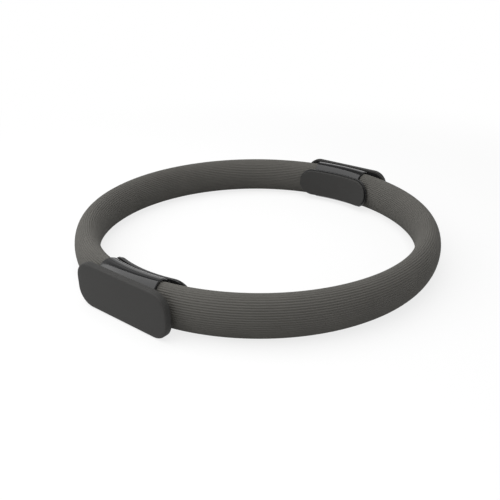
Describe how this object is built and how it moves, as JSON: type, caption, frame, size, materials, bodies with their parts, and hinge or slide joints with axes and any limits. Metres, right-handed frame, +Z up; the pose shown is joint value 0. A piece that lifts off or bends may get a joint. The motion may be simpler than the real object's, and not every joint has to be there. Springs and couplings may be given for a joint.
{
  "type": "pilates ring",
  "caption": "Flexible exercise hoop in a ribbed foam sleeve, with opposite handles that carry flat outer pads and curved inner pads, for squeezing or pulling apart.",
  "frame": {"origin": "centre of the ring, half way up", "axes": "+Z up through the lying ring, the two handles on -Y (front) and +Y (rear), X across the open sides"},
  "size_m": [0.3556, 0.3622, 0.0424],
  "materials": {
    "foam": "matte ribbed foam",
    "pad": "matte soft pad",
    "shell": "gloss moulded plastic",
    "hoop": "drawn glass fibre band",
    "steel": "plain steel"
  },
  "bodies": {
    "front_handle": {"front_outer_shell": "shell", "front_inner_shell": "shell", "front_outer_pad": "pad", "front_inner_pad": "pad", "front_shell_screws": "steel", "front_hoop_pins": "steel", "hoop_front": "hoop", "foam_front_left": "foam", "foam_front_right": "foam"},
    "left_1": {"foam_left_1": "foam", "hoop_left_1": "hoop"},
    "left_2": {"foam_left_2": "foam", "hoop_left_2": "hoop"},
    "left_3": {"foam_left_3": "foam", "hoop_left_3": "hoop"},
    "left_4": {"foam_left_4": "foam", "hoop_left_4": "hoop"},
    "left_5": {"foam_left_5": "foam", "hoop_left_5": "hoop"},
    "right_1": {"foam_right_1": "foam", "hoop_right_1": "hoop"},
    "right_2": {"foam_right_2": "foam", "hoop_right_2": "hoop"},
    "right_3": {"foam_right_3": "foam", "hoop_right_3": "hoop"},
    "right_4": {"foam_right_4": "foam", "hoop_right_4": "hoop"},
    "right_5": {"foam_right_5": "foam", "hoop_right_5": "hoop"},
    "right_6": {"foam_rear_right": "foam", "hoop_rear_right": "hoop"},
    "rear_handle": {"rear_outer_shell": "shell", "rear_inner_shell": "shell", "rear_outer_pad": "pad", "rear_inner_pad": "pad", "rear_shell_screws": "steel", "rear_hoop_pins": "steel", "hoop_rear_left": "hoop", "foam_rear_left": "foam"}
  },
  "joints": [
    {"name": "bend_left_1", "type": "hinge", "parent": "front_handle", "child": "left_1", "pos_m": [-0.0673, -0.15175, 0], "axis": [0, 0, 1], "range_deg": [-7, 19], "stiffness_Nm_per_rad": 11.6},
    {"name": "bend_left_2", "type": "hinge", "parent": "left_1", "child": "left_2", "pos_m": [-0.12781, -0.10592, 0], "axis": [0, 0, 1], "range_deg": [-3.33, 1.26], "stiffness_Nm_per_rad": 11.6},
    {"name": "bend_left_3", "type": "hinge", "parent": "left_2", "child": "left_3", "pos_m": [-0.1616, -0.03795, 0], "axis": [0, 0, 1], "range_deg": [-15.77, 5.84], "stiffness_Nm_per_rad": 11.6},
    {"name": "bend_left_4", "type": "hinge", "parent": "left_3", "child": "left_4", "pos_m": [-0.1616, 0.03795, 0], "axis": [0, 0, 1], "range_deg": [-15.77, 5.84], "stiffness_Nm_per_rad": 11.6},
    {"name": "bend_left_5", "type": "hinge", "parent": "left_4", "child": "left_5", "pos_m": [-0.12781, 0.10592, 0], "axis": [0, 0, 1], "range_deg": [-3.33, 1.26], "stiffness_Nm_per_rad": 11.6},
    {"name": "bend_left_6", "type": "hinge", "parent": "left_5", "child": "rear_handle", "pos_m": [-0.0673, 0.15175, 0], "axis": [0, 0, 1], "range_deg": [-7.05, 19.05], "stiffness_Nm_per_rad": 11.6},
    {"name": "bend_right_1", "type": "hinge", "parent": "front_handle", "child": "right_1", "pos_m": [0.0673, -0.15175, 0], "axis": [0, 0, -1], "range_deg": [-7.05, 19.05], "stiffness_Nm_per_rad": 11.6},
    {"name": "bend_right_2", "type": "hinge", "parent": "right_1", "child": "right_2", "pos_m": [0.12781, -0.10592, 0], "axis": [0, 0, -1], "range_deg": [-3.33, 1.26], "stiffness_Nm_per_rad": 11.6},
    {"name": "bend_right_3", "type": "hinge", "parent": "right_2", "child": "right_3", "pos_m": [0.1616, -0.03795, 0], "axis": [0, 0, -1], "range_deg": [-15.77, 5.84], "stiffness_Nm_per_rad": 11.6},
    {"name": "bend_right_4", "type": "hinge", "parent": "right_3", "child": "right_4", "pos_m": [0.1616, 0.03795, 0], "axis": [0, 0, -1], "range_deg": [-15.77, 5.84], "stiffness_Nm_per_rad": 11.6},
    {"name": "bend_right_5", "type": "hinge", "parent": "right_4", "child": "right_5", "pos_m": [0.12781, 0.10592, 0], "axis": [0, 0, -1], "range_deg": [-3.33, 1.26], "stiffness_Nm_per_rad": 11.6},
    {"name": "bend_right_6", "type": "hinge", "parent": "right_5", "child": "right_6", "pos_m": [0.0673, 0.15175, 0], "axis": [0, 0, -1], "range_deg": [-7.05, 19.05], "stiffness_Nm_per_rad": 11.6}
  ],
  "couplings": [
    {"joint": "bend_left_2", "follows": "bend_left_1", "ratio": -0.17262},
    {"joint": "bend_left_3", "follows": "bend_left_1", "ratio": -0.82738},
    {"joint": "bend_left_4", "follows": "bend_left_1", "ratio": -0.82738},
    {"joint": "bend_left_5", "follows": "bend_left_1", "ratio": -0.17262},
    {"joint": "bend_left_6", "follows": "bend_left_1", "ratio": 1},
    {"joint": "bend_right_1", "follows": "bend_left_1", "ratio": 1},
    {"joint": "bend_right_2", "follows": "bend_left_1", "ratio": -0.17262},
    {"joint": "bend_right_3", "follows": "bend_left_1", "ratio": -0.82738},
    {"joint": "bend_right_4", "follows": "bend_left_1", "ratio": -0.82738},
    {"joint": "bend_right_5", "follows": "bend_left_1", "ratio": -0.17262},
    {"joint": "bend_right_6", "follows": "bend_left_1", "ratio": 1}
  ]
}
